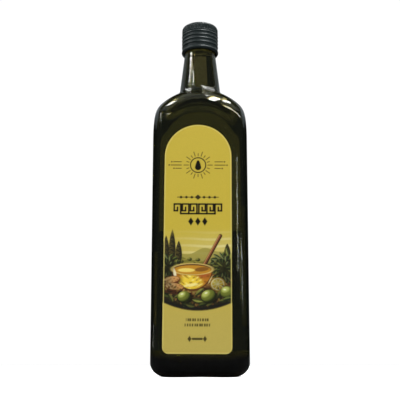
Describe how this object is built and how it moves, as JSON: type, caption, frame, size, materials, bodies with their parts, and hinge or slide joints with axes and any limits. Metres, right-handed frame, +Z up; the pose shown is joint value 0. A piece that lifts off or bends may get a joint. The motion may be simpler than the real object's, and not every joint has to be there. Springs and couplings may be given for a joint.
{
  "type": "olive oil bottle",
  "caption": "Square dark glass bottle of olive oil with domed shoulders, tapered neck, black roll-on screw cap with tamper band, and arched yellow front label",
  "frame": {"origin": "middle of the bottle's base, on the plane it stands on", "axes": "+Z is up along the bottle's axis, the labelled front faces -Y, and +X is to the right as the front is seen"},
  "size_m": [0.076, 0.0765, 0.2983],
  "materials": {
    "dark_glass": "glossy dark olive green bottle glass",
    "oil": "clear greenish gold oil, dark through the glass",
    "black_lacquer": "black lacquered aluminium with a soft sheen",
    "label_paper": "smooth golden yellow printed label paper"
  },
  "bodies": {
    "root": {"glass_bottle": "dark_glass", "olive_oil": "oil", "screw_cap": "black_lacquer", "tamper_band": "black_lacquer", "front_label": "label_paper"}
  },
  "joints": []
}
